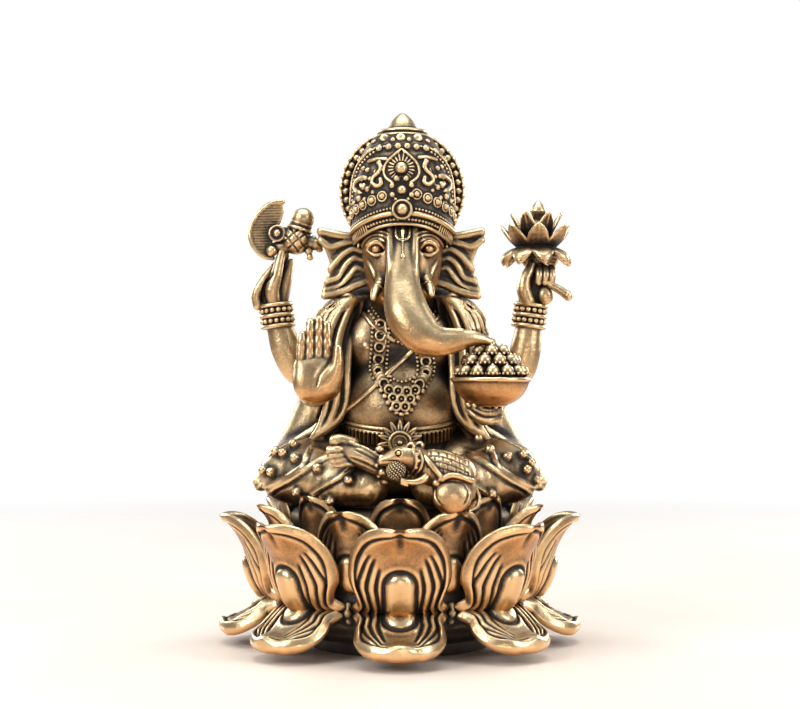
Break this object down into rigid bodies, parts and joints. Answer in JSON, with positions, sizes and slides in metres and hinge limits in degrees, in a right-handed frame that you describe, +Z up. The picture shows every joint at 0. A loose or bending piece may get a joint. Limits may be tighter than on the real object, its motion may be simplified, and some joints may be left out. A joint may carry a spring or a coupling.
{
  "type": "deity figurine",
  "caption": "Seated elephant-headed, four-armed deity on a double lotus, with crown, disc halo, sweet bowl, axe, lotus flower and mouse, cast in antiqued brass.",
  "frame": {"origin": "centre of the object's box at the level of the base plate's underside, on the surface it stands on", "axes": "+Z up through the crown's finial, -Y the way the figure faces, +X towards the figure's own left side"},
  "size_m": [0.103, 0.103, 0.15],
  "materials": {
    "antique_brass": "cast brass with dark patina in the recesses, rubbed bright on the high spots",
    "polished_brass": "rubbed and lacquered brass with dark patina only in the grooves",
    "gilt_paint": "bright rubbed brass",
    "black_enamel": "satin black",
    "steel": "plain machine screw"
  },
  "bodies": {
    "root": {"base_plate": "black_enamel", "fixing_screw": "steel", "lotus_hub": "antique_brass", "lower_petals": "polished_brass", "outer_petals": "polished_brass", "middle_petals": "polished_brass", "inner_petals": "polished_brass", "torso": "antique_brass", "shawl": "antique_brass", "right_leg": "antique_brass", "left_leg": "antique_brass", "left_foot": "antique_brass", "anklet": "antique_brass", "trouser_studs": "antique_brass", "shawl_tassels": "antique_brass", "belt": "antique_brass", "belt_buckle": "antique_brass", "sacred_thread": "antique_brass", "jewelled_necklace": "antique_brass", "bead_necklace": "antique_brass", "pendant": "antique_brass", "right_rear_arm": "antique_brass", "right_rear_cuff": "antique_brass", "right_rear_hand": "antique_brass", "axe_blade": "antique_brass", "axe_handle": "antique_brass", "left_rear_arm": "antique_brass", "left_rear_cuff": "antique_brass", "left_rear_hand": "antique_brass", "lotus_flower": "antique_brass", "lotus_stem": "antique_brass", "right_front_arm": "antique_brass", "blessing_hand": "antique_brass", "left_front_arm": "antique_brass", "bowl_hand": "antique_brass", "bowl": "polished_brass", "sweets": "antique_brass", "head": "polished_brass", "right_ear": "antique_brass", "left_ear": "antique_brass", "right_tusk": "polished_brass", "left_tusk": "polished_brass", "forehead_trident": "gilt_paint", "crown_band": "antique_brass", "crown_dome": "antique_brass", "crown_plaque": "antique_brass", "crown_jewel": "antique_brass", "crown_rosettes": "antique_brass", "crown_finial": "polished_brass", "halo": "antique_brass", "halo_beads": "antique_brass", "mouse": "antique_brass", "mouse_saddle": "antique_brass", "mouse_sweet": "antique_brass", "mouse_tail": "antique_brass"}
  },
  "joints": []
}
